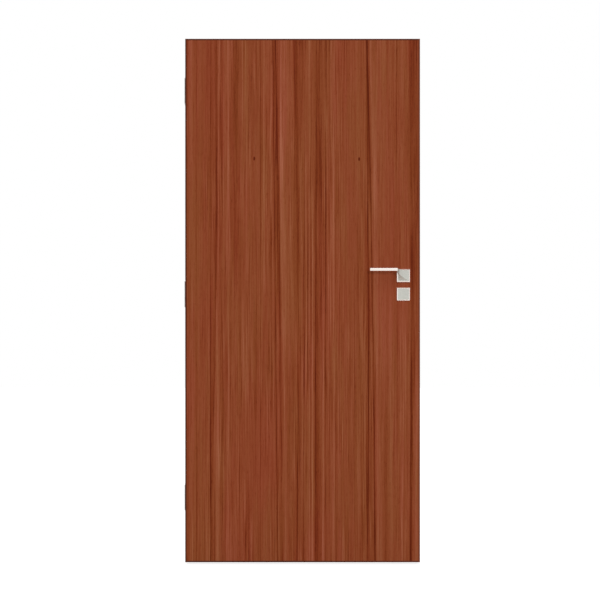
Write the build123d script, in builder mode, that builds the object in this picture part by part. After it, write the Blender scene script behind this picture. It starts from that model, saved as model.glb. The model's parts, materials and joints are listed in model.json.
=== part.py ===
from build123d import *
import os

os.makedirs("parts", exist_ok=True)

# Frame: +Z up, +X from the hinge edge to the lock edge, -Y towards the push side.
# x = 0 is the seat of the hinges' frame plates, y = 0 the middle of the leaf's thickness
# and z = 0 the middle of the lower hinge. All sizes are in millimetres.

# Leaf
leaf_width = 915.0
leaf_height = 2040.0
leaf_thickness = 40.0
skin_thickness = 4.0
lipping_thickness = 6.0
arris_radius = 0.5
stile_width = 45.0
top_rail_height = 70.0
bottom_rail_height = 110.0
lock_block_width = 100.0
lock_block_height = 400.0
tube_diameter = 22.0
tube_pitch = 36.0

# Butt hinges
lower_hinge_height = 250.0
upper_hinge_depth = 200.0
hinge_length = 100.0
hinge_plate_width = 30.0
hinge_plate_thickness = 2.0
hinge_gap = 2.0
knuckle_count = 5
knuckle_radius = 5.5
knuckle_clearance = 0.5
knuckle_end_gap = 0.4
pin_radius = 3.5
pin_clearance = 0.05
pin_cap_radius = 5.2
pin_cap_height = 3.0
pin_cap_bevel = 1.2
recess_clearance = 0.2
hinge_screw_radius = 2.25
hinge_countersink_radius = 3.75
countersink_angle = 90.0
outer_screw_spread = 76.0
outer_screw_setback = 9.0
inner_screw_spread = 26.0
inner_screw_setback = 19.0

# Mortise lock
handle_height = 1117.0
backset = 65.0
lock_distance = 72.0
lock_case_depth = 88.0
lock_case_height = 165.0
lock_case_thickness = 14.0
lock_drop = 28.0
mortise_clearance = 1.0
faceplate_width = 20.0
faceplate_height = 235.0
faceplate_thickness = 3.0
faceplate_screw_inset = 9.0
faceplate_screw_radius = 2.25
faceplate_countersink_radius = 4.0
bolt_thickness = 10.0
bolt_length = 32.0
bolt_clearance = 0.2
bolt_corner = 1.0
latch_height = 22.0
dead_bolt_height = 34.0
follower_radius = 11.0
follower_clearance = 0.05

# Square plates and lever set
face_plate_size = 50.0
face_plate_depth = 9.0
face_plate_bevel = 3.5
spindle_size = 8.0
spindle_clearance = 0.05
spindle_reach = 15.0
spindle_end_gap = 0.5
spindle_bore_radius = 12.0
collar_radius = 10.0
collar_clearance = 0.1
collar_setback = 1.0
lever_gap = 0.5
lever_length = 133.0
lever_projection = 58.0
bar_height = 10.5
bar_depth = 9.0
bar_rise = 23.0
bar_start = 26.5
bar_round = 1.2
neck_base = 36.0
neck_waist_depth = 30.0
neck_waist_width = 9.5
neck_waist_height = 23.0
neck_waist_shift = 17.25
neck_waist_rise = 11.5
neck_tip_width = 5.0

# Places worked out from the sizes
leaf_left = hinge_plate_thickness + hinge_gap
leaf_right = leaf_left + leaf_width
leaf_bottom = -lower_hinge_height
leaf_top = leaf_bottom + leaf_height
back_y = leaf_thickness / 2
core_half = back_y - skin_thickness
inner_left = leaf_left + lipping_thickness
inner_right = leaf_right - lipping_thickness
inner_bottom = leaf_bottom + lipping_thickness
inner_top = leaf_top - lipping_thickness
inner_width = inner_right - inner_left
inner_height = inner_top - inner_bottom
middle_x = (leaf_left + leaf_right) / 2
middle_z = (leaf_bottom + leaf_top) / 2
core_left = inner_left + stile_width
core_right = inner_right - stile_width
core_bottom = inner_bottom + bottom_rail_height
core_top = inner_top - top_rail_height
core_width = core_right - core_left
core_height = core_top - core_bottom
core_middle_z = (core_bottom + core_top) / 2
pin_x = hinge_plate_thickness + hinge_gap / 2
pin_y = back_y + knuckle_clearance + knuckle_radius
knuckle_pitch = hinge_length / knuckle_count
upper_hinge_z = leaf_top - upper_hinge_depth
hinge_heights = {"lower": 0.0, "middle": upper_hinge_z / 2, "upper": upper_hinge_z}
spindle_x = leaf_right - backset
spindle_z = leaf_bottom + handle_height
lock_middle_z = spindle_z - lock_drop
dead_bolt_z = spindle_z - lock_distance
case_right = leaf_right - faceplate_thickness
case_middle_x = case_right - lock_case_depth / 2
bolt_middle_x = leaf_right - bolt_length / 2
spindle_half_length = back_y + spindle_reach
square_hole = spindle_size + 2 * spindle_clearance

# The front face of the leaf at the spindle and at the escutcheon, drawn as seen from the front
rosette_plane = Plane(origin=(spindle_x, -back_y, spindle_z), x_dir=(1, 0, 0), z_dir=(0, -1, 0))
escutcheon_plane = Plane(origin=(spindle_x, -back_y, dead_bolt_z), x_dir=(1, 0, 0), z_dir=(0, -1, 0))

# Cutting solid of the lock's pocket, open at the leaf's edge
with BuildPart() as lock_mortise:
    with Locations((leaf_right - (faceplate_thickness + lock_case_depth + mortise_clearance) / 2, 0, lock_middle_z)):
        Box(
            faceplate_thickness + lock_case_depth + mortise_clearance,
            lock_case_thickness + 2 * mortise_clearance,
            lock_case_height + 2 * mortise_clearance,
        )

# Cutting solid of the faceplate's round-ended seat in the lipping
with BuildPart() as faceplate_seat:
    with BuildSketch(Plane.YZ.offset(case_right)):
        with Locations((0, lock_middle_z)):
            SlotOverall(
                faceplate_height + 2 * recess_clearance,
                faceplate_width + 2 * recess_clearance,
                rotation=90,
            )
    extrude(amount=faceplate_thickness)

# Cutting solid of the wide bore that the spindle passes through
with BuildPart() as spindle_bore:
    with BuildSketch(Plane.XZ):
        with Locations((spindle_x, spindle_z)):
            Circle(spindle_bore_radius)
    extrude(amount=back_y, both=True)

# Veneered skins between the lippings, bored for the spindle
with BuildPart() as front_skin:
    with BuildSketch(Plane.XZ.offset(core_half)):
        with Locations((middle_x, middle_z)):
            Rectangle(inner_width, inner_height)
    extrude(amount=skin_thickness)
    add(spindle_bore.part, mode=Mode.SUBTRACT)
front_skin.part.label = "front_skin"
export_step(front_skin.part, "parts/front_skin.step")

with BuildPart() as back_skin:
    mirror(front_skin.part, about=Plane.XZ)
back_skin.part.label = "back_skin"
export_step(back_skin.part, "parts/back_skin.step")

# Softwood frame inside the leaf
with BuildPart() as hinge_stile:
    with BuildSketch(Plane.XZ):
        with Locations((inner_left + stile_width / 2, middle_z)):
            Rectangle(stile_width, inner_height)
    extrude(amount=core_half, both=True)
hinge_stile.part.label = "hinge_stile"
export_step(hinge_stile.part, "parts/hinge_stile.step")

with BuildPart() as lock_stile:
    with BuildSketch(Plane.XZ):
        with Locations((inner_right - stile_width / 2, middle_z)):
            Rectangle(stile_width, inner_height)
    extrude(amount=core_half, both=True)
    add(lock_mortise.part, mode=Mode.SUBTRACT)
    add(spindle_bore.part, mode=Mode.SUBTRACT)
lock_stile.part.label = "lock_stile"
export_step(lock_stile.part, "parts/lock_stile.step")

with BuildPart() as top_rail:
    with BuildSketch(Plane.XZ):
        with Locations((middle_x, inner_top - top_rail_height / 2)):
            Rectangle(core_width, top_rail_height)
    extrude(amount=core_half, both=True)
top_rail.part.label = "top_rail"
export_step(top_rail.part, "parts/top_rail.step")

with BuildPart() as bottom_rail:
    with BuildSketch(Plane.XZ):
        with Locations((middle_x, inner_bottom + bottom_rail_height / 2)):
            Rectangle(core_width, bottom_rail_height)
    extrude(amount=core_half, both=True)
bottom_rail.part.label = "bottom_rail"
export_step(bottom_rail.part, "parts/bottom_rail.step")

with BuildPart() as lock_block:
    with BuildSketch(Plane.XZ):
        with Locations((core_right - lock_block_width / 2, lock_middle_z)):
            Rectangle(lock_block_width, lock_block_height)
    extrude(amount=core_half, both=True)
    add(lock_mortise.part, mode=Mode.SUBTRACT)
    add(spindle_bore.part, mode=Mode.SUBTRACT)
lock_block.part.label = "lock_block"
export_step(lock_block.part, "parts/lock_block.step")

# Extruded chipboard core with upright tubes, notched round the lock block
tube_count = int((core_width - lock_block_width) // tube_pitch)
tube_row_middle = core_left + (core_width - lock_block_width) / 2
with BuildPart() as core:
    with BuildSketch(Plane.XY.offset(core_bottom)):
        with Locations((middle_x, 0)):
            Rectangle(core_width, 2 * core_half)
        with Locations((tube_row_middle, 0)):
            with GridLocations(tube_pitch, tube_pitch, tube_count, 1):
                Circle(tube_diameter / 2, mode=Mode.SUBTRACT)
    extrude(amount=core_height)
    with BuildSketch(Plane.XZ):
        with Locations((core_right - lock_block_width / 2, lock_middle_z)):
            Rectangle(lock_block_width, lock_block_height)
    extrude(amount=core_half, both=True, mode=Mode.SUBTRACT)
core.part.label = "core"
export_step(core.part, "parts/core.step")

# Solid lippings: full height at the sides, butted between them at the top and bottom
with BuildPart() as hinge_edge_lipping:
    with BuildSketch(Plane.XY.offset(leaf_bottom)):
        with Locations((leaf_left + lipping_thickness / 2, 0)):
            Rectangle(lipping_thickness, leaf_thickness)
    extrude(amount=leaf_height)
    fillet(hinge_edge_lipping.edges().filter_by(Axis.Z).group_by(Axis.X)[0], arris_radius)
    with BuildSketch(Plane.YZ.offset(leaf_left)):
        with Locations(*[(back_y - (hinge_plate_width + recess_clearance) / 2, z) for z in hinge_heights.values()]):
            Rectangle(hinge_plate_width + recess_clearance, hinge_length + 2 * recess_clearance)
    extrude(amount=hinge_plate_thickness, mode=Mode.SUBTRACT)
hinge_edge_lipping.part.label = "hinge_edge_lipping"
export_step(hinge_edge_lipping.part, "parts/hinge_edge_lipping.step")

with BuildPart() as lock_edge_lipping:
    with BuildSketch(Plane.XY.offset(leaf_bottom)):
        with Locations((leaf_right - lipping_thickness / 2, 0)):
            Rectangle(lipping_thickness, leaf_thickness)
    extrude(amount=leaf_height)
    fillet(lock_edge_lipping.edges().filter_by(Axis.Z).group_by(Axis.X)[-1], arris_radius)
    add(faceplate_seat.part, mode=Mode.SUBTRACT)
    add(lock_mortise.part, mode=Mode.SUBTRACT)
lock_edge_lipping.part.label = "lock_edge_lipping"
export_step(lock_edge_lipping.part, "parts/lock_edge_lipping.step")

with BuildPart() as top_edge_lipping:
    with BuildSketch(Plane.YZ.offset(inner_left)):
        with Locations((0, leaf_top - lipping_thickness / 2)):
            Rectangle(leaf_thickness, lipping_thickness)
    extrude(amount=inner_width)
    fillet(top_edge_lipping.edges().filter_by(Axis.X).group_by(Axis.Z)[-1], arris_radius)
top_edge_lipping.part.label = "top_edge_lipping"
export_step(top_edge_lipping.part, "parts/top_edge_lipping.step")

with BuildPart() as bottom_edge_lipping:
    with BuildSketch(Plane.YZ.offset(inner_left)):
        with Locations((0, leaf_bottom + lipping_thickness / 2)):
            Rectangle(leaf_thickness, lipping_thickness)
    extrude(amount=inner_width)
    fillet(bottom_edge_lipping.edges().filter_by(Axis.X).group_by(Axis.Z)[0], arris_radius)
bottom_edge_lipping.part.label = "bottom_edge_lipping"
export_step(bottom_edge_lipping.part, "parts/bottom_edge_lipping.step")

# Mortise lock: the case with its follower bore and the two bolt pockets
bolt_places = {"latch_bolt": (spindle_z, latch_height), "dead_bolt": (dead_bolt_z, dead_bolt_height)}

with BuildPart() as lock_case:
    with Locations((case_middle_x, 0, lock_middle_z)):
        Box(lock_case_depth, lock_case_thickness, lock_case_height)
    with BuildSketch(Plane.XZ):
        with Locations((spindle_x, spindle_z)):
            Circle(follower_radius + follower_clearance)
    extrude(amount=lock_case_thickness, both=True, mode=Mode.SUBTRACT)
    for bolt_z, bolt_height in bolt_places.values():
        with BuildSketch(Plane.YZ.offset(leaf_right)):
            with Locations((0, bolt_z)):
                Rectangle(bolt_thickness + 2 * bolt_clearance, bolt_height + 2 * bolt_clearance)
        extrude(amount=-(bolt_length + bolt_clearance), mode=Mode.SUBTRACT)
lock_case.part.label = "lock_case"
export_step(lock_case.part, "parts/lock_case.step")

with BuildPart() as lock_faceplate:
    with BuildSketch(Plane.YZ.offset(case_right)):
        with Locations((0, lock_middle_z)):
            SlotOverall(faceplate_height, faceplate_width, rotation=90)
        for bolt_z, bolt_height in bolt_places.values():
            with Locations((0, bolt_z)):
                Rectangle(
                    bolt_thickness + 2 * bolt_clearance,
                    bolt_height + 2 * bolt_clearance,
                    mode=Mode.SUBTRACT,
                )
    extrude(amount=faceplate_thickness)
    screw_reach = faceplate_height / 2 - faceplate_screw_inset
    screw_seats = [
        Plane(origin=(leaf_right, 0, lock_middle_z + side * screw_reach), z_dir=(1, 0, 0)) for side in (-1, 1)
    ]
    with Locations(*screw_seats):
        CounterSinkHole(
            faceplate_screw_radius,
            faceplate_countersink_radius,
            faceplate_thickness,
            countersink_angle,
        )
lock_faceplate.part.label = "lock_faceplate"
export_step(lock_faceplate.part, "parts/lock_faceplate.step")

# Bolts that stand flush with the faceplate
for bolt_name, (bolt_z, bolt_height) in bolt_places.items():
    with BuildPart() as bolt:
        with Locations((bolt_middle_x, 0, bolt_z)):
            Box(bolt_length, bolt_thickness, bolt_height)
        fillet(bolt.edges().filter_by(Axis.X), bolt_corner)
    bolt.part.label = bolt_name
    export_step(bolt.part, f"parts/{bolt_name}.step")

# Square plates with a bevelled rim: the rosette is bored for the lever's collar, the escutcheon is blank
with BuildPart() as front_rosette:
    with BuildSketch(rosette_plane):
        Rectangle(face_plate_size, face_plate_size)
        Circle(collar_radius + collar_clearance, mode=Mode.SUBTRACT)
    extrude(amount=face_plate_depth)
    chamfer(front_rosette.faces().sort_by(Axis.Y)[0].outer_wire().edges(), face_plate_bevel)
front_rosette.part.label = "front_rosette"
export_step(front_rosette.part, "parts/front_rosette.step")

with BuildPart() as back_rosette:
    mirror(front_rosette.part, about=Plane.XZ)
back_rosette.part.label = "back_rosette"
export_step(back_rosette.part, "parts/back_rosette.step")

with BuildPart() as front_escutcheon:
    with BuildSketch(escutcheon_plane):
        Rectangle(face_plate_size, face_plate_size)
    extrude(amount=face_plate_depth)
    chamfer(front_escutcheon.faces().sort_by(Axis.Y)[0].edges(), face_plate_bevel)
front_escutcheon.part.label = "front_escutcheon"
export_step(front_escutcheon.part, "parts/front_escutcheon.step")

with BuildPart() as back_escutcheon:
    mirror(front_escutcheon.part, about=Plane.XZ)
back_escutcheon.part.label = "back_escutcheon"
export_step(back_escutcheon.part, "parts/back_escutcheon.step")

# Lever: a straight bar carried by a faceted neck that flares from the bar's end to a square foot
neck_foot = face_plate_depth + lever_gap
bar_middle_depth = lever_projection - bar_depth / 2
with BuildPart() as front_lever:
    with BuildSketch(rosette_plane.offset(lever_projection - bar_depth)):
        with Locations((-(lever_length + bar_start) / 2, bar_rise)):
            Rectangle(lever_length - bar_start, bar_height)
    extrude(amount=bar_depth)
    fillet(front_lever.edges(), bar_round)
    with BuildSketch(rosette_plane.offset(neck_foot)):
        Rectangle(neck_base, neck_base)
    with BuildSketch(rosette_plane.offset(neck_waist_depth)):
        with Locations((-neck_waist_shift, neck_waist_rise)):
            Rectangle(neck_waist_width, neck_waist_height)
    with BuildSketch(rosette_plane.offset(bar_middle_depth)):
        with Locations((-(bar_start + neck_tip_width / 2 + bar_round), bar_rise)):
            Rectangle(neck_tip_width, bar_height - 2 * bar_round)
    loft()
    with BuildSketch(rosette_plane.offset(collar_setback)):
        Circle(collar_radius)
    extrude(amount=neck_foot - collar_setback)
    with BuildSketch(rosette_plane.offset(collar_setback)):
        Rectangle(square_hole, square_hole)
    extrude(amount=spindle_reach + spindle_end_gap - collar_setback, mode=Mode.SUBTRACT)
front_lever.part.label = "front_lever"
export_step(front_lever.part, "parts/front_lever.step")

with BuildPart() as back_lever:
    mirror(front_lever.part, about=Plane.XZ)
back_lever.part.label = "back_lever"
export_step(back_lever.part, "parts/back_lever.step")

with BuildPart() as spindle:
    with BuildSketch(Plane.XZ):
        with Locations((spindle_x, spindle_z)):
            Rectangle(spindle_size, spindle_size)
    extrude(amount=spindle_half_length, both=True)
spindle.part.label = "spindle"
export_step(spindle.part, "parts/spindle.step")

with BuildPart() as lock_follower:
    with BuildSketch(Plane.XZ):
        with Locations((spindle_x, spindle_z)):
            Circle(follower_radius)
            Rectangle(square_hole, square_hole, mode=Mode.SUBTRACT)
    extrude(amount=lock_case_thickness / 2, both=True)
lock_follower.part.label = "lock_follower"
export_step(lock_follower.part, "parts/lock_follower.step")

# Butt hinges: the frame plate carries the odd knuckles and the pin, the door plate the even ones
outer_screw_y = back_y - outer_screw_setback
inner_screw_y = back_y - inner_screw_setback
tab_start = back_y - hinge_plate_thickness
tab_width = pin_y - tab_start
for place, hinge_z in hinge_heights.items():
    hinge_foot = hinge_z - hinge_length / 2
    screw_points = [(outer_screw_y, hinge_z + side * outer_screw_spread / 2) for side in (-1, 1)]
    screw_points += [(inner_screw_y, hinge_z + side * inner_screw_spread / 2) for side in (-1, 1)]

    with BuildPart() as frame_plate:
        with BuildSketch(Plane.YZ):
            with Locations((back_y - hinge_plate_width / 2, hinge_z)):
                Rectangle(hinge_plate_width, hinge_length)
        extrude(amount=hinge_plate_thickness)
        for knuckle in range(0, knuckle_count, 2):
            with BuildSketch(Plane.XY.offset(hinge_foot + knuckle * knuckle_pitch)):
                with Locations((pin_x, pin_y)):
                    Circle(knuckle_radius)
                with Locations((hinge_plate_thickness / 2, tab_start + tab_width / 2)):
                    Rectangle(hinge_plate_thickness, tab_width)
            extrude(amount=knuckle_pitch)
        with Locations((pin_x, pin_y, hinge_z)):
            Cylinder(pin_radius + pin_clearance, hinge_length, mode=Mode.SUBTRACT)
        with Locations(*[Plane((hinge_plate_thickness, y, z), z_dir=(1, 0, 0)) for y, z in screw_points]):
            CounterSinkHole(
                hinge_screw_radius, hinge_countersink_radius, hinge_plate_thickness, countersink_angle
            )
    frame_plate.part.label = f"{place}_hinge_frame_plate"
    export_step(frame_plate.part, f"parts/{place}_hinge_frame_plate.step")

    with BuildPart() as door_plate:
        with BuildSketch(Plane.YZ.offset(leaf_left)):
            with Locations((back_y - hinge_plate_width / 2, hinge_z)):
                Rectangle(hinge_plate_width, hinge_length)
        extrude(amount=hinge_plate_thickness)
        for knuckle in range(1, knuckle_count, 2):
            with BuildSketch(Plane.XY.offset(hinge_foot + knuckle * knuckle_pitch + knuckle_end_gap)):
                with Locations((pin_x, pin_y)):
                    Circle(knuckle_radius)
                with Locations((leaf_left + hinge_plate_thickness / 2, tab_start + tab_width / 2)):
                    Rectangle(hinge_plate_thickness, tab_width)
            extrude(amount=knuckle_pitch - 2 * knuckle_end_gap)
        with Locations((pin_x, pin_y, hinge_z)):
            Cylinder(pin_radius + pin_clearance, hinge_length, mode=Mode.SUBTRACT)
        with Locations(*[Plane((leaf_left, y, z), z_dir=(-1, 0, 0)) for y, z in screw_points]):
            CounterSinkHole(
                hinge_screw_radius, hinge_countersink_radius, hinge_plate_thickness, countersink_angle
            )
    door_plate.part.label = f"{place}_hinge_door_plate"
    export_step(door_plate.part, f"parts/{place}_hinge_door_plate.step")

    with BuildPart() as hinge_pin:
        with Locations((pin_x, pin_y, hinge_z)):
            Cylinder(pin_radius, hinge_length)
        cap_reach = (hinge_length + pin_cap_height) / 2
        with Locations((pin_x, pin_y, hinge_z - cap_reach), (pin_x, pin_y, hinge_z + cap_reach)):
            Cylinder(pin_cap_radius, pin_cap_height)
        cap_rims = hinge_pin.edges().filter_by(GeomType.CIRCLE).group_by(Axis.Z)
        chamfer(cap_rims[0] + cap_rims[-1], pin_cap_bevel)
    hinge_pin.part.label = f"{place}_hinge_pin"
    export_step(hinge_pin.part, f"parts/{place}_hinge_pin.step")
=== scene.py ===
import json
import math

import bpy
import numpy as np
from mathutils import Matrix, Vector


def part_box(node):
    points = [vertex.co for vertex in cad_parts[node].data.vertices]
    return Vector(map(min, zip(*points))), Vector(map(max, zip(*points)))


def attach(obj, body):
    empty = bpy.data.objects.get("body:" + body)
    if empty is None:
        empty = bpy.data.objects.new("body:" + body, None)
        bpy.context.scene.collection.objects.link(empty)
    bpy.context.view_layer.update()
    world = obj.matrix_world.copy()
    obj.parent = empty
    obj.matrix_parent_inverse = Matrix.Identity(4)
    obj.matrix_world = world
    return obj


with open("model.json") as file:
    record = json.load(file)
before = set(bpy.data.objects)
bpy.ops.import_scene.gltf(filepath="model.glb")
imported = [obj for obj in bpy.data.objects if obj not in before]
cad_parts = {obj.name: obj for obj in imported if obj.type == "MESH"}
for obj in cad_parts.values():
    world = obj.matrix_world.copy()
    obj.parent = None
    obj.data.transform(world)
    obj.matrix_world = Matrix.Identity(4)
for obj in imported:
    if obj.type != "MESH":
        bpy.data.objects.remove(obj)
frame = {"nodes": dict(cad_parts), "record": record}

scene = bpy.context.scene
nodes = frame["nodes"]
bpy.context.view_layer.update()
print("frame loaded:", len(nodes), "nodes")

# Places read from the frame, in metres
hingeEdgeLow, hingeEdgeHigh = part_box("hinge_edge_lipping")
leafLeft = hingeEdgeLow.x
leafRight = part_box("lock_edge_lipping")[1].x
leafBottom = hingeEdgeLow.z
leafTop = hingeEdgeHigh.z
leafFront = hingeEdgeLow.y
leafBack = hingeEdgeHigh.y
leafHeight = leafTop - leafBottom
leafMiddleX = (leafLeft + leafRight) / 2
leafMiddleZ = (leafBottom + leafTop) / 2
millimetre = 0.001


# sRGB levels 0 to 255 to the linear colour that a shader socket takes: level / 12.92 where it is dark, and
# (level + 0.055) / 1.055 to the power of 2.4 elsewhere
def paint(red, green, blue):
    level = np.array([red, green, blue]) / 255
    linear = np.where(level <= 0.04045, level / 12.92, ((level + 0.055) / 1.055) ** 2.4)
    return (*linear.tolist(), 1.0)


# A value that is a socket is linked, anything else is set on the input
def feed(tree, socket, value):
    if isinstance(value, bpy.types.NodeSocket):
        tree.links.new(value, socket)
    else:
        socket.default_value = value


# Feeds several inputs of a node by their names
def feedAll(tree, node, inputs):
    for key, value in inputs.items():
        feed(tree, node.inputs[key], value)


# A new node: its settings come first, because they decide which inputs it has
def addNode(tree, kind, inputs=None, **settings):
    node = tree.nodes.new(kind)
    for key, value in settings.items():
        setattr(node, key, value)
    feedAll(tree, node, inputs or {})
    return node


# One step of arithmetic on up to three values
def calc(tree, operation, first, second=0.0, third=0.0):
    node = tree.nodes.new("ShaderNodeMath")
    node.operation = operation
    for socket, value in zip(node.inputs, (first, second, third)):
        feed(tree, socket, value)
    return node.outputs[0]


# Smooth step from 0 at low to 1 at high; with low above high it falls as the value grows
def rise(tree, value, low, high):
    inputs = {"Value": value, "From Min": low, "From Max": high}
    return addNode(tree, "ShaderNodeMapRange", inputs, interpolation_type="SMOOTHSTEP").outputs["Result"]


# A layer of noise: cycles per metre along X, Y and Z, its start in the noise, its weight and its detail
def layer(cycles, start, weight=1.0, detail=1.0):
    return dict(cycles=cycles, start=start, weight=weight, detail=detail)


# Noise over a point whose axes are stretched by the layer's cycles; shift moves it elsewhere in the noise
def layerNoise(tree, point, one, shift=0.0):
    start = shift + one["start"]
    place = (start, start / 2, start / 3)
    scaled = addNode(tree, "ShaderNodeMapping", {"Vector": point, "Scale": one["cycles"], "Location": place})
    inputs = {"Vector": scaled.outputs[0], "Scale": 1.0, "Detail": one["detail"]}
    return addNode(tree, "ShaderNodeTexNoise", inputs).outputs["Fac"]


# total + weight * strength * (noise - 0.5)
def addSwing(tree, noise, weight, total, strength=1.0):
    swing = calc(tree, "MULTIPLY", calc(tree, "SUBTRACT", noise, 0.5), strength)
    return calc(tree, "MULTIPLY_ADD", swing, weight, total)


# The same for a layer, with the layer's own noise and weight
def addLayer(tree, point, one, shift, total, strength=1.0):
    return addSwing(tree, layerNoise(tree, point, one, shift), one["weight"], total, strength)


# Colours between stops, each of them a place from 0 to 1 and three sRGB levels
def colourRamp(tree, value, stops):
    ramp = addNode(tree, "ShaderNodeValToRGB", {"Fac": value})
    elements = ramp.color_ramp.elements
    while len(elements) < len(stops):
        elements.new(0.5)
    for element, (place, colour) in zip(elements, stops):
        element.position = place
        element.color = paint(*colour)
    return ramp.outputs["Color"]


# The normal tilted by the slope of a height, with a strength and a depth in metres
def bump(tree, height, strength, depth):
    node = addNode(tree, "ShaderNodeBump", {"Height": height, "Strength": strength, "Distance": depth})
    return node.outputs["Normal"]


# A new material with its tree, its shader and its Object coordinates
def startMaterial(name):
    material = bpy.data.materials.new(name)
    material.use_nodes = True
    tree = material.node_tree
    coords = addNode(tree, "ShaderNodeTexCoord").outputs["Object"]
    return material, tree, tree.nodes["Principled BSDF"], coords


# The coordinates one by one, under the names X, Y and Z
def splitAxes(tree, coords):
    return addNode(tree, "ShaderNodeSeparateXYZ", {"Vector": coords}).outputs


# Gives CAD nodes one material in place of their own
def dress(material, *names):
    for name in names:
        mesh = nodes[name].data
        mesh.materials.clear()
        mesh.materials.append(material)


# A streak of the veneer: its place in metres from the face's left edge at the top, and its depth of tone,
# where below 0 is light. soft and edge are its fades to the left and right, lean is how far it moves right
# by the bottom, bow how far it bends right at mid-height, and start and end keep it to a part of the height
def streak(at, depth, soft=0.004, edge=0.004, lean=0.0, bow=0.0, start=None, end=None):
    return dict(at=at, depth=depth, soft=soft, edge=edge, lean=lean, bow=bow, start=start, end=end)


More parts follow.
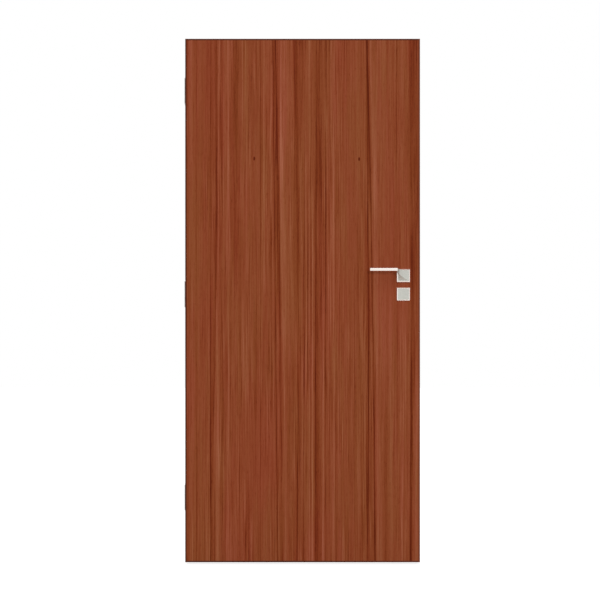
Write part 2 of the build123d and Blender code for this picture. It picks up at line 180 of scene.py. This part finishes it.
# Veneer of the two faces, with its grain upright; tones run from light at 0 to dark at 1
veneer = dict(
    tones=[
        (0.0, (165, 100, 71)),
        (0.25, (153, 86, 57)),
        (0.5, (140, 71, 41)),
        (0.75, (124, 54, 25)),
        (1.0, (93, 30, 11)),
    ],
    middleTone=0.5,
    backShift=57.0,
    tints=[
        dict(colour=(1.045, 0.93, 1.06, 1.0), noise=layer((9.0, 1.0, 1.6), 47.0, detail=3.0)),
        dict(colour=(0.98, 1.048, 0.955, 1.0), noise=layer((70.0, 1.0, 2.0), 53.0, detail=3.0)),
    ],
    tintStep=(0.36, 0.64),
    # How far the grain and the streaks stray sideways, as weights in metres
    drift=layer((2.2, 1.0, 1.1), 3.0, 0.008),
    wobble=layer((14.0, 1.0, 5.0), 9.0, 0.0024),
    # From wide bands to fibres, and then the pores
    bands=[layer((16.0, 1.0, 0.5), 0.0, 0.12), layer((60.0, 1.0, 1.2), 11.0, 0.12)],
    softLines=[layer((125.0, 1.0, 1.5), 23.0, 0.34), layer((280.0, 1.0, 4.2), 29.0, 0.95)],
    hardLines=[layer((210.0, 1.0, 1.4), 61.0, 0.20), layer((220.0, 1.0, 1.6), 67.0, -0.16)],
    hardLineStep=(0.61, 0.67),
    fibres=layer((760.0, 1.0, 8.0), 83.0, 0.50),
    pores=layer((1250.0, 1.0, 42.0), 31.0, 0.26),
    poreStep=(0.60, 0.72),
    poreRelief=-0.6,
    bump=(0.12, 0.0004),
    roughness=0.44,
    roughnessGain=0.14,
    specular=0.04,
    # Patches and strips where the lines are fainter
    patches=layer((11.0, 1.0, 3.5), 71.0),
    patchStep=(0.40, 0.62),
    plainPatch=0.38,
    plainStrips=[
        streak(0.0480, 0.55, 0.060, 0.040),
        streak(0.1900, 0.35, 0.045, 0.045, start=0.40),
        streak(0.2950, 0.50, 0.045, 0.040),
        streak(0.3950, 0.60, 0.022, 0.024),
        streak(0.6600, 0.35, 0.050, 0.040),
        streak(0.8000, 0.55, 0.070, 0.075),
    ],
    streaks=[
        # Left edge
        streak(0.0100, 0.10, 0.006, 0.006),
        streak(0.0260, -0.08, 0.012, 0.016),
        streak(0.0437, 0.14),
        # Dark bow that leans left, with light beside it
        streak(0.1000, 0.16, 0.007, 0.004, end=0.55),
        streak(0.0985, 0.34, 0.004, 0.006, start=0.42),
        streak(0.1240, 0.24, 0.012, 0.003, lean=-0.030, bow=0.011, end=0.94),
        streak(0.1315, -0.16, 0.003, 0.006, lean=-0.008, end=0.56),
        streak(0.1245, -0.22, 0.009, 0.010, start=0.44),
        streak(0.1410, 0.15, 0.006, 0.010),
        # Short lines, light and dark
        streak(0.1690, -0.12, 0.004, 0.004, lean=-0.012, start=0.14, end=0.36),
        streak(0.1675, -0.15, 0.010, 0.007),
        streak(0.2000, 0.14, 0.028, 0.014, end=0.50),
        streak(0.2230, -0.24, 0.003, 0.003, end=0.24),
        streak(0.2355, -0.22, 0.003, 0.004, end=0.20),
        streak(0.2235, -0.20, 0.003, 0.018, start=0.44, end=0.74),
        streak(0.2490, 0.24, 0.003, 0.004, end=0.38),
        streak(0.2470, 0.20, 0.003, 0.003, start=0.76),
        streak(0.2930, 0.24, 0.003, 0.003),
        streak(0.3055, -0.20, 0.006, 0.010, end=0.55),
        # Dark pair that leans right, with light after it
        streak(0.3340, -0.16, 0.006, 0.003, end=0.40),
        streak(0.3425, 0.36, 0.005, 0.004, lean=0.018),
        streak(0.3525, 0.38, 0.012, 0.004, lean=0.027, bow=0.004),
        streak(0.3625, -0.16, 0.004, 0.018, lean=0.025, bow=0.004, start=0.10),
        streak(0.3720, -0.12, 0.010, 0.054, lean=0.014, end=0.66),
        # Close lines in the middle
        streak(0.4255, 0.28, 0.004, 0.050, end=0.22),
        streak(0.4440, 0.20, 0.028, 0.006, start=0.10, end=0.52),
        streak(0.4465, 0.20, 0.004, 0.004, lean=-0.010, start=0.42),
        streak(0.4360, 0.16, 0.014, 0.008, start=0.70),
        streak(0.4620, 0.26, 0.003, 0.003, start=0.32),
        streak(0.4725, -0.18, 0.003, 0.003, start=0.30, end=0.72),
        streak(0.4780, 0.30, 0.003, 0.003, start=0.32, end=0.72),
        streak(0.4838, -0.32, 0.004, 0.003),
        streak(0.4910, 0.22, 0.003, 0.003, start=0.30, end=0.72),
        streak(0.4980, -0.36, 0.004, 0.004, lean=-0.003, start=0.26),
        streak(0.5130, 0.22, 0.010, 0.026, end=0.34),
        streak(0.5065, 0.32, 0.004, 0.014, start=0.20),
        streak(0.5170, 0.20, 0.006, 0.007, start=0.48),
        streak(0.5300, 0.24, 0.016, 0.003, start=0.10, end=0.64),
        streak(0.5370, -0.38, 0.004, 0.006, start=0.42),
        streak(0.5490, 0.26, 0.004, 0.003, lean=-0.002),
        streak(0.5665, -0.12, 0.003, 0.004, end=0.40),
        streak(0.5800, -0.22, 0.012, 0.005),
        streak(0.5865, 0.26, 0.003, 0.003, start=0.56),
        streak(0.5985, -0.18, 0.004, 0.007, start=0.04, end=0.52),
        streak(0.6605, 0.24, 0.003, 0.003, start=0.38, end=0.74),
        # Dark pair that parts towards the bottom, with light after it
        streak(0.7090, 0.34, 0.009, 0.006, lean=0.003, bow=0.003),
        streak(0.7085, 0.38, 0.006, 0.004, lean=0.032, bow=0.006),
        streak(0.7180, 0.14, 0.008, 0.008, start=0.50),
        streak(0.7180, -0.22, 0.003, 0.026, lean=0.032, bow=0.006),
        # Plain part near the lever
        streak(0.7600, -0.08, 0.030, 0.060, end=0.74),
        streak(0.7820, 0.14, 0.012, 0.010, start=0.66),
        streak(0.8030, -0.16, 0.014, 0.012, start=0.42),
        streak(0.8235, 0.26, 0.003, 0.003, end=0.30),
        streak(0.8460, -0.10, 0.020, 0.018),
        # Right edge
        streak(0.8820, 0.24, 0.016, 0.050, end=0.52),
        streak(0.8830, 0.26, 0.010, 0.022, start=0.32, end=0.74),
        streak(0.8855, 0.42, 0.007, 0.012, lean=-0.008, start=0.58),
        streak(0.9010, -0.18, 0.008, 0.010, start=0.58),
    ],
    streakFade=0.12,
    thinning=layer((45.0, 1.0, 2.0), 37.0, 0.6),
    knots=[dict(across=0.2691, down=0.4666), dict(across=0.6778, down=0.4688)],
    knotSize=(0.0033, 0.0070),
    knotStep=(1.7, 0.2),
    knotDepth=0.90,
)


# A streak is a step up to its middle times a step down after it, times its steps along the height and a
# strength; its middle is at + lean * fall + bow * arch
def addStreaks(tree, streaks, across, fall, arch, strength, total):
    fade = veneer["streakFade"]
    for one in streaks:
        middle = calc(tree, "MULTIPLY_ADD", fall, one["lean"], one["at"])
        if one["bow"]:
            middle = calc(tree, "MULTIPLY_ADD", arch, one["bow"], middle)
        offset = calc(tree, "SUBTRACT", across, middle)
        leftSide = rise(tree, offset, -one["soft"], 0.0)
        rightSide = rise(tree, offset, one["edge"], 0.0)
        body = calc(tree, "MULTIPLY", calc(tree, "MULTIPLY", leftSide, rightSide), strength)
        if one["start"] is not None:
            body = calc(tree, "MULTIPLY", body, rise(tree, fall, one["start"], one["start"] + fade))
        if one["end"] is not None:
            body = calc(tree, "MULTIPLY", body, rise(tree, fall, one["end"], one["end"] - fade))
        total = calc(tree, "MULTIPLY_ADD", body, one["depth"], total)
    return total


# A knot is dark inside an upright ellipse: a step down of its scaled distance squared
def addKnots(tree, across, down, total):
    wide, tall = veneer["knotSize"]
    for knot in veneer["knots"]:
        sideways = calc(tree, "DIVIDE", calc(tree, "SUBTRACT", across, knot["across"]), wide)
        upright = calc(tree, "DIVIDE", calc(tree, "SUBTRACT", down, knot["down"]), tall)
        square = calc(tree, "MULTIPLY_ADD", sideways, sideways, calc(tree, "MULTIPLY", upright, upright))
        dark = rise(tree, square, *veneer["knotStep"])
        total = calc(tree, "MULTIPLY_ADD", dark, veneer["knotDepth"], total)
    return total


# Places on a face: across from its left edge as one looks at it, down from the top, fall as the part of the
# height that down is, and arch = 4 * fall * (1 - fall), which is 1 at mid-height
def facePlaces(tree, coords, mirrored):
    axis = splitAxes(tree, coords)
    if mirrored:
        across = calc(tree, "SUBTRACT", leafRight, axis["X"])
    else:
        across = calc(tree, "SUBTRACT", axis["X"], leafLeft)
    down = calc(tree, "SUBTRACT", leafTop, axis["Z"])
    fall = calc(tree, "DIVIDE", down, leafHeight)
    arch = calc(tree, "MULTIPLY", calc(tree, "SUBTRACT", 1.0, fall), calc(tree, "MULTIPLY", fall, 4.0))
    return across, down, fall, arch


# How strong the lines are: between plainPatch and 1 by a slow noise, times 1 less the plain strips
def lineStrength(tree, point, across, fall, arch, shift):
    least = veneer["plainPatch"]
    patches = rise(tree, layerNoise(tree, point, veneer["patches"], shift), *veneer["patchStep"])
    patches = calc(tree, "MULTIPLY_ADD", patches, 1.0 - least, least)
    plainness = addStreaks(tree, veneer["plainStrips"], across, fall, arch, 1.0, 0.0)
    return calc(tree, "MULTIPLY", patches, calc(tree, "SUBTRACT", 1.0, plainness))


# Multiplies a colour by a tint where the tint's noise is high
def addTint(tree, colour, tint, point, shift):
    place = rise(tree, layerNoise(tree, point, tint["noise"], shift), *veneer["tintStep"])
    inputs = {"Factor": place, "A": colour, "B": tint["colour"]}
    mixed = addNode(tree, "ShaderNodeMix", inputs, data_type="RGBA", blend_type="MULTIPLY")
    return mixed.outputs["Result"]


# The tone is middleTone plus the swing of each layer over a place across that strays with the height, plus
# the hard lines and pores where their noises are high, the streaks and the knots; shift sets the faces apart
def veneerMaterial(name, mirrored=False, shift=0.0):
    material, tree, shader, coords = startMaterial(name)
    across, down, fall, arch = facePlaces(tree, coords, mirrored)
    plain = addNode(tree, "ShaderNodeCombineXYZ", {"X": across, "Z": down}).outputs[0]
    streakAcross = addLayer(tree, plain, veneer["wobble"], shift, across)
    grainAcross = addLayer(tree, plain, veneer["drift"], shift, streakAcross)
    grain = addNode(tree, "ShaderNodeCombineXYZ", {"X": grainAcross, "Z": down}).outputs[0]

    strength = lineStrength(tree, plain, across, fall, arch, shift)
    tone = veneer["middleTone"]
    for one in veneer["bands"]:
        tone = addLayer(tree, grain, one, shift, tone)
    for one in veneer["softLines"]:
        tone = addLayer(tree, grain, one, shift, tone, strength)
    fibres = layerNoise(tree, grain, veneer["fibres"], shift)
    tone = addSwing(tree, fibres, veneer["fibres"]["weight"], tone)
    for one in veneer["hardLines"]:
        line = rise(tree, layerNoise(tree, grain, one, shift), *veneer["hardLineStep"])
        tone = calc(tree, "MULTIPLY_ADD", calc(tree, "MULTIPLY", line, strength), one["weight"], tone)
    pores = rise(tree, layerNoise(tree, grain, veneer["pores"], shift), *veneer["poreStep"])
    tone = calc(tree, "MULTIPLY_ADD", pores, veneer["pores"]["weight"], tone)
    streakStrength = addLayer(tree, plain, veneer["thinning"], shift, 1.0)
    tone = addStreaks(tree, veneer["streaks"], streakAcross, fall, arch, streakStrength, tone)
    tone = addKnots(tree, across, down, tone)

    colour = colourRamp(tree, tone, veneer["tones"])
    for tint in veneer["tints"]:
        colour = addTint(tree, colour, tint, grain, shift)
    relief = calc(tree, "MULTIPLY_ADD", pores, veneer["poreRelief"], fibres)
    feedAll(tree, shader, {
        "Base Color": colour,
        "Roughness": addSwing(tree, fibres, veneer["roughnessGain"], veneer["roughness"]),
        "Specular IOR Level": veneer["specular"],
        "Normal": bump(tree, relief, *veneer["bump"]),
    })
    return material


dress(veneerMaterial("frontVeneer"), "front_skin")
dress(veneerMaterial("backVeneer", mirrored=True, shift=veneer["backShift"]), "back_skin")
print("veneer made:", len(veneer["streaks"]), "streaks")


# Darker solid lipping, with its grain along Z on the upright edges and along X on the level ones; the lock
# edge's lipping is painted lighter, as light falling on that side
lipping = dict(
    tones=[(0.2, (103, 51, 33)), (0.5, (84, 39, 24)), (0.8, (64, 29, 18))],
    # Lighter tones for the lock edge: painted light on that side of the leaf, the same lipping as the others
    lockEdgePaintedLightTones=[(0.2, (130, 69, 48)), (0.5, (113, 56, 38)), (0.8, (93, 43, 28))],
    upright=(260.0, 260.0, 2.4),
    level=(2.4, 260.0, 260.0),
    fineStart=17.0,
    fineDetail=2.0,
    fineWeight=0.7,
    wideStart=5.0,
    wideRatio=5,
    wideWeight=0.8,
    leastTone=-0.25,
    bump=(0.15, 0.0003),
    roughness=0.42,
    roughnessGain=0.16,
    specular=0.04,
)


# The tone is leastTone + wideWeight * wide + fineWeight * fine, where the wide noise has fewer cycles
def lippingMaterial(name, cycles, tones):
    material, tree, shader, coords = startMaterial(name)
    wideCycles = tuple(value / lipping["wideRatio"] for value in cycles)
    wide = layerNoise(tree, coords, layer(wideCycles, lipping["wideStart"]))
    fine = layerNoise(tree, coords, layer(cycles, lipping["fineStart"], detail=lipping["fineDetail"]))
    tone = calc(tree, "MULTIPLY_ADD", wide, lipping["wideWeight"], lipping["leastTone"])
    tone = calc(tree, "MULTIPLY_ADD", fine, lipping["fineWeight"], tone)
    feedAll(tree, shader, {
        "Base Color": colourRamp(tree, tone, tones),
        "Roughness": addSwing(tree, fine, lipping["roughnessGain"], lipping["roughness"]),
        "Specular IOR Level": lipping["specular"],
        "Normal": bump(tree, fine, *lipping["bump"]),
    })
    return material


dress(lippingMaterial("hingeEdgeLipping", lipping["upright"], lipping["tones"]), "hinge_edge_lipping")
dress(lippingMaterial("lockEdgeLipping", lipping["upright"], lipping["lockEdgePaintedLightTones"]), "lock_edge_lipping")
levelLipping = lippingMaterial("levelLipping", lipping["level"], lipping["tones"])
dress(levelLipping, "top_edge_lipping", "bottom_edge_lipping")

# Hidden inside of the leaf: planed softwood and extruded chipboard
softwood = dict(
    tones=[(0.3, (214, 178, 126)), (0.55, (196, 152, 98)), (0.75, (164, 116, 68))],
    upright=layer((120.0, 120.0, 1.6), 7.0, detail=2.5),
    level=layer((1.6, 120.0, 120.0), 7.0, detail=2.5),
    roughness=0.70,
)
chipboard = dict(
    tones=[(0.25, (126, 92, 58)), (0.5, (178, 142, 98)), (0.8, (206, 174, 128))],
    chips=layer((260.0, 420.0, 160.0), 7.0, detail=2.5),
    roughness=0.85,
)
rawWood = dict(roughnessGain=0.2, bump=(0.3, 0.0006))


# Raw wood: one noise is its tone, its roughness and its bump
def rawWoodMaterial(name, wood, grainLayer):
    material, tree, shader, coords = startMaterial(name)
    grain = layerNoise(tree, coords, grainLayer)
    feedAll(tree, shader, {
        "Base Color": colourRamp(tree, grain, wood["tones"]),
        "Roughness": addSwing(tree, grain, rawWood["roughnessGain"], wood["roughness"]),
        "Normal": bump(tree, grain, *rawWood["bump"]),
    })
    return material


uprightSoftwood = rawWoodMaterial("uprightSoftwood", softwood, softwood["upright"])
dress(uprightSoftwood, "hinge_stile", "lock_stile", "lock_block")
dress(rawWoodMaterial("levelSoftwood", softwood, softwood["level"]), "top_rail", "bottom_rail")
dress(rawWoodMaterial("coreChipboard", chipboard, chipboard["chips"]), "core")
print("lippings and leaf frame dressed")


# Brushed steel of the hinges and the lock, and what all brushed metal shares
steel = dict(
    colour=(218, 217, 213),
    dark=(168, 167, 163),
    roughness=0.36,
    brush=layer((900.0, 2600.0, 30.0), 3.0, detail=2.0),
)
brushedMetal = dict(
    cloud=layer((35.0, 35.0, 35.0), 13.0, 0.4, 2.0),
    hairWeight=0.6,
    darkStop=0.25,
    colourStop=0.6,
    roughnessGain=0.16,
    bump=(0.06, 0.0002),
)


# The tone of a brushed metal is its brush noise and a soft cloud, each times its weight
def brushedMaterial(name, metal):
    material, tree, shader, coords = startMaterial(name)
    cloudLayer = brushedMetal["cloud"]
    hair = layerNoise(tree, coords, metal["brush"])
    cloud = calc(tree, "MULTIPLY", layerNoise(tree, coords, cloudLayer), cloudLayer["weight"])
    tone = calc(tree, "MULTIPLY_ADD", hair, brushedMetal["hairWeight"], cloud)
    stops = [(brushedMetal["darkStop"], metal["dark"]), (brushedMetal["colourStop"], metal["colour"])]
    feedAll(tree, shader, {
        "Base Color": colourRamp(tree, tone, stops),
        "Metallic": 1.0,
        "Roughness": addSwing(tree, tone, brushedMetal["roughnessGain"], metal["roughness"]),
        "Normal": bump(tree, hair, *brushedMetal["bump"]),
    })
    return material


# Satin nickel of the plates and necks, polished on the plates' bevels and the lever's bar, where the
# polished colour is also painted much lighter as a highlight
nickel = dict(
    satin=[(0.30, (184, 184, 175)), (0.50, (194, 194, 186)), (0.70, (203, 203, 196))],
    # Polished colour: a real polished finish whose levels are painted lighter as the highlight on the bar
    # and the bevels
    polishedWithHighlight=[(0.30, (236, 225, 217)), (0.50, (247, 237, 230)), (0.70, (253, 246, 240))],
    satinRoughness=0.34,
    polishedRoughness=0.16,
    roughnessGain=0.12,
    plateBrush=layer((60.0, 60.0, 2600.0), 3.0, detail=2.0),
    leverBrush=layer((14.0, 2600.0, 2600.0), 3.0, detail=2.0),
    bump=(0.03, 0.0002),
    rim=0.0038,
    rimFade=0.0006,
    barBack=0.0475,
    barHeight=0.0105,
    barFade=0.0010,
)


# Blends the satin and the polished nickel by a mask that is 1 where the metal is polished; the polished
# colour carries a painted highlight
def twoFinishesAndHighlight(tree, shader, mask, hair):
    satin = colourRamp(tree, hair, nickel["satin"])
    polishedWithHighlight = colourRamp(tree, hair, nickel["polishedWithHighlight"])
    colour = addNode(tree, "ShaderNodeMix", {"Factor": mask, "A": satin, "B": polishedWithHighlight}, data_type="RGBA")
    drop = nickel["polishedRoughness"] - nickel["satinRoughness"]
    roughness = calc(tree, "MULTIPLY_ADD", mask, drop, nickel["satinRoughness"])
    feedAll(tree, shader, {
        "Base Color": colour.outputs["Result"],
        "Metallic": 1.0,
        "Roughness": addSwing(tree, hair, nickel["roughnessGain"], roughness),
        "Normal": bump(tree, hair, *nickel["bump"]),
    })


# The lever is polished, with a painted highlight in its colour, on its bar: further from the leaf's face
# than barBack, and above the bar's underside
def leverMaterial(name):
    material, tree, shader, coords = startMaterial(name)
    axis = splitAxes(tree, coords)
    barBack = nickel["barBack"]
    barFade = nickel["barFade"]
    hair = layerNoise(tree, coords, nickel["leverBrush"])
    depth = calc(tree, "SUBTRACT", calc(tree, "ABSOLUTE", axis["Y"]), leafBack)
    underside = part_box("front_lever")[1].z - nickel["barHeight"]
    outward = rise(tree, depth, barBack, barBack + barFade)
    upward = rise(tree, axis["Z"], underside - barFade, underside)
    twoFinishesAndHighlight(tree, shader, calc(tree, "MULTIPLY", outward, upward), hair)
    return material


# A square plate is polished, with a painted highlight in its colour, on its bevel, where the larger of |x|
# and |z| from its middle nears its edge
def plateMaterial(name, node):
    material, tree, shader, coords = startMaterial(name)
    axis = splitAxes(tree, coords)
    low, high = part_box(node)
    hair = layerNoise(tree, coords, nickel["plateBrush"])
    aside = calc(tree, "ABSOLUTE", calc(tree, "SUBTRACT", axis["X"], (low.x + high.x) / 2))
    above = calc(tree, "ABSOLUTE", calc(tree, "SUBTRACT", axis["Z"], (low.z + high.z) / 2))
    rim = (high.x - low.x) / 2 - nickel["rim"]
    mask = rise(tree, calc(tree, "MAXIMUM", aside, above), rim, rim + nickel["rimFade"])
    twoFinishesAndHighlight(tree, shader, mask, hair)
    return material


dress(plateMaterial("rosetteNickel", "front_rosette"), "front_rosette", "back_rosette")
dress(plateMaterial("escutcheonNickel", "front_escutcheon"), "front_escutcheon", "back_escutcheon")
dress(leverMaterial("leverNickel"), "front_lever", "back_lever")
lockNames = ["lock_case", "lock_faceplate", "latch_bolt", "dead_bolt", "spindle", "lock_follower"]
hingeNames = [name for name in nodes if "_hinge_" in name]
dress(brushedMaterial("brushedSteel", steel), *lockNames, *hingeNames)
print("metal dressed:", len(hingeNames), "hinge nodes")


# A mesh object at the origin, from points of three coordinates and faces of point numbers
def newPiece(name, points, faces, material):
    mesh = bpy.data.meshes.new(name)
    mesh.from_pydata(points.reshape(-1, 3).tolist(), [], faces)
    mesh.polygons.foreach_set("use_smooth", np.ones(len(mesh.polygons), dtype=bool))
    mesh.materials.append(material)
    mesh.update()
    piece = bpy.data.objects.new(name, mesh)
    scene.collection.objects.link(piece)
    return piece


# Countersunk screws in the door plates and in the lock's faceplate
screw = dict(
    headRadius=0.0033,
    shankRadius=0.0019,
    length=0.0028,
    sink=0.0003,
    headRim=0.0001,
    crossDepth=0.0010,
    crossHalf=0.0005,
    crossWall=0.00025,
    crossReach=0.62,
    faceplateInset=0.009,
    rings=30,
    turns=48,
    colour=(176, 175, 170),
    dark=(140, 139, 134),
    roughness=0.3,
    brush=layer((500.0, 500.0, 500.0), 3.0, detail=2.0),
)


# A screw is a polar grid: the profile runs from near the middle of the head to its rim and down the cone to
# the shank's end, and a last point closes each end; the cross recess lowers the head where |u| or |v| is
# under crossHalf and the radius is within its reach, over a wall that is crossWall wide
def screwPoints():
    headRadius = screw["headRadius"]
    shankRadius = screw["shankRadius"]
    coneEnd = -screw["headRim"] - (headRadius - shankRadius)
    flat = np.linspace(0.0, headRadius, screw["rings"])[1:]
    radius = np.concatenate([flat, [headRadius, shankRadius, shankRadius]])
    height = np.concatenate([0 * flat, [-screw["headRim"], coneEnd, -screw["length"]]])
    angle = np.linspace(0, 2 * np.pi, screw["turns"], endpoint=False)
    u = radius[:, None] * np.cos(angle)
    v = radius[:, None] * np.sin(angle)
    arm = np.minimum(np.abs(u), np.abs(v)) - screw["crossHalf"]
    end = radius[:, None] - screw["crossReach"] * headRadius
    inside = np.clip(-np.maximum(arm, end) / screw["crossWall"], 0, 1)
    onHead = (np.arange(len(radius)) < len(flat))[:, None]
    w = height[:, None] - screw["crossDepth"] * inside * onHead
    rings = np.stack([u, v, w], axis=-1).reshape(-1, 3)
    poles = [[0.0, 0.0, -screw["crossDepth"]], [0.0, 0.0, -screw["length"]]]
    return np.concatenate([rings, poles])


# Quads join each ring to the next, and triangles join the first and last ring to the points at the ends
def screwFaces(pointCount):
    turns = screw["turns"]
    rowCount = (pointCount - 2) // turns
    row, turn = np.meshgrid(np.arange(rowCount - 1), np.arange(turns), indexing="ij")
    following = (turn + 1) % turns
    inner = row * turns
    outer = inner + turns
    corners = [inner + turn, outer + turn, outer + following, inner + following]
    around = np.arange(turns)
    onward = (around + 1) % turns
    lastRow = (rowCount - 1) * turns
    headFan = np.stack([np.full(turns, pointCount - 2), around, onward], axis=-1)
    endFan = np.stack([np.full(turns, pointCount - 1), lastRow + onward, lastRow + around], axis=-1)
    return np.stack(corners, axis=-1).reshape(-1, 4), np.concatenate([headFan, endFan])


# One screw on each seat: outward is +1 or -1 along X, the head's w axis points that way and u turns with it
def screwSet(name, seats, outward, body, material):
    shape = screwPoints()
    w = (shape[:, 2] - screw["sink"]) * outward
    placed = np.stack([w, shape[:, 0] * outward, shape[:, 1]], axis=-1)
    points = np.asarray(seats)[:, None, :] + placed[None]
    step = np.arange(len(seats))[:, None, None] * len(shape)
    faces = []
    for kind in screwFaces(len(shape)):
        faces += (kind[None] + step).reshape(-1, kind.shape[-1]).tolist()
    piece = newPiece(name, points, faces, material)
    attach(piece, body)


screwSteel = brushedMaterial("screwSteel", screw)

# The door plates have their holes across from those of the frame plates, which the record's mounts give
hingePatterns = [mount for mount in frame["record"]["mounts"] if mount["kind"] == "bolt_pattern"]
hingeSeats = [
    (leafLeft, mount["pos_m"][1], mount["pos_m"][2] + side * mount["dims"]["spacing_y_mm"] * millimetre / 2)
    for mount in hingePatterns
    for side in (-1, 1)
]
screwSet("hinge_screws", hingeSeats, -1.0, "leaf", screwSteel)
faceplateLow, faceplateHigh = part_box("lock_faceplate")
faceplateSeats = [
    (leafRight, 0.0, faceplateLow.z + screw["faceplateInset"]),
    (leafRight, 0.0, faceplateHigh.z - screw["faceplateInset"]),
]
screwSet("faceplate_screws", faceplateSeats, 1.0, "leaf", screwSteel)
print("screws made:", len(hingeSeats) + len(faceplateSeats))


# 1 for rays that show the surroundings: from the camera, off gloss or through glass
def seenRays(tree):
    path = addNode(tree, "ShaderNodeLightPath").outputs
    seen = calc(tree, "MAXIMUM", path["Is Camera Ray"], path["Is Glossy Ray"])
    return calc(tree, "MAXIMUM", seen, path["Is Transmission Ray"])


# Floor under the door: white where it is seen, with the door's soft shadow kept in it
floor = dict(undercut=0.008, reach=9.0, cells=8, albedo=0.45, glow=0.79)


# A matt grey that takes the shadow, plus a glow for the rays that show the surroundings
def floorMaterial(name):
    material = bpy.data.materials.new(name)
    material.use_nodes = True
    tree = material.node_tree
    tree.nodes.clear()
    output = addNode(tree, "ShaderNodeOutputMaterial")
    matt = addNode(tree, "ShaderNodeBsdfDiffuse", {"Color": (floor["albedo"],) * 3 + (1.0,)})
    brightness = calc(tree, "MULTIPLY", seenRays(tree), floor["glow"])
    glow = addNode(tree, "ShaderNodeEmission", {"Strength": brightness})
    both = addNode(tree, "ShaderNodeAddShader")
    tree.links.new(matt.outputs[0], both.inputs[0])
    tree.links.new(glow.outputs[0], both.inputs[1])
    tree.links.new(both.outputs[0], output.inputs["Surface"])
    return material


# A level square grid about the leaf's middle, a little below its bottom edge
def makeFloor(name):
    cells = floor["cells"]
    side = np.linspace(-floor["reach"], floor["reach"], cells + 1)
    x, y = np.meshgrid(side + leafMiddleX, side, indexing="ij")
    points = np.stack([x, y, np.full_like(x, leafBottom - floor["undercut"])], axis=-1)
    row, column = np.meshgrid(np.arange(cells), np.arange(cells), indexing="ij")
    start = row * (cells + 1) + column
    beyond = start + cells + 1
    faces = np.stack([start, beyond, beyond + 1, start + 1], axis=-1).reshape(-1, 4)
    piece = newPiece(name, points, faces.tolist(), floorMaterial(name))


makeFloor("studioFloor")

# Light: an even white surround, a soft key from the upper right in front, a soft lamp from behind, and a low
# one in front that draws the tight shadow under the lever's bar and doesn't show in the metal
light = dict(
    fill=0.57,
    suns=[
        dict(name="keyLight", strength=0.60, turn=(52, 0, 28), softness=40, inGloss=True),
        dict(name="backLight", strength=1.5, turn=(55, 0, 205), softness=40, inGloss=True),
        dict(name="frontLight", strength=0.86, turn=(79, 0, 9), softness=10, inGloss=False),
    ],
)


# The surround gives fill to the pieces and is white to the rays that show it
def makeWorld():
    world = bpy.data.worlds.new("studioWorld")
    world.use_nodes = True
    tree = world.node_tree
    tree.nodes.clear()
    output = addNode(tree, "ShaderNodeOutputWorld")
    fill = addNode(tree, "ShaderNodeBackground", {"Color": (1, 1, 1, 1), "Strength": light["fill"]})
    white = addNode(tree, "ShaderNodeBackground", {"Color": (1, 1, 1, 1), "Strength": 1.0})
    choose = addNode(tree, "ShaderNodeMixShader", {"Fac": seenRays(tree)})
    tree.links.new(fill.outputs[0], choose.inputs[1])
    tree.links.new(white.outputs[0], choose.inputs[2])
    tree.links.new(choose.outputs[0], output.inputs["Surface"])
    scene.world = world


# A far lamp turned by three angles; softness is the angle that it fills in the sky, all in degrees
def makeSun(name, strength, turn, softness, inGloss):
    lamp = bpy.data.lights.new(name, "SUN")
    lamp.energy = strength
    lamp.angle = math.radians(softness)
    piece = bpy.data.objects.new(name, lamp)
    piece.rotation_euler = [math.radians(value) for value in turn]
    piece.visible_glossy = inGloss
    scene.collection.objects.link(piece)


makeWorld()
for sun in light["suns"]:
    makeSun(**sun)

# Camera square on to the push side, placed from the middle of its face, where the picture is spanAtFace wide
camera = dict(distance=4.5, spanAtFace=2.338, aside=-0.0101, above=0.0021, sensor=36.0, farEnd=100.0)


# The lens is sensor * distance / span, and a turn of 90 degrees about X makes the camera look along +Y
def makeCamera():
    view = bpy.data.cameras.new("photoCamera")
    view.sensor_width = camera["sensor"]
    view.lens = camera["sensor"] * camera["distance"] / camera["spanAtFace"]
    view.clip_end = camera["farEnd"]
    eye = bpy.data.objects.new("photoCamera", view)
    eye.location.x = leafMiddleX + camera["aside"]
    eye.location.y = leafFront - camera["distance"]
    eye.location.z = leafMiddleZ + camera["above"]
    eye.rotation_euler = (math.radians(90), 0, 0)
    scene.collection.objects.link(eye)
    scene.camera = eye


makeCamera()
scene.view_settings.view_transform = "Standard"
print("stage, light and camera set")
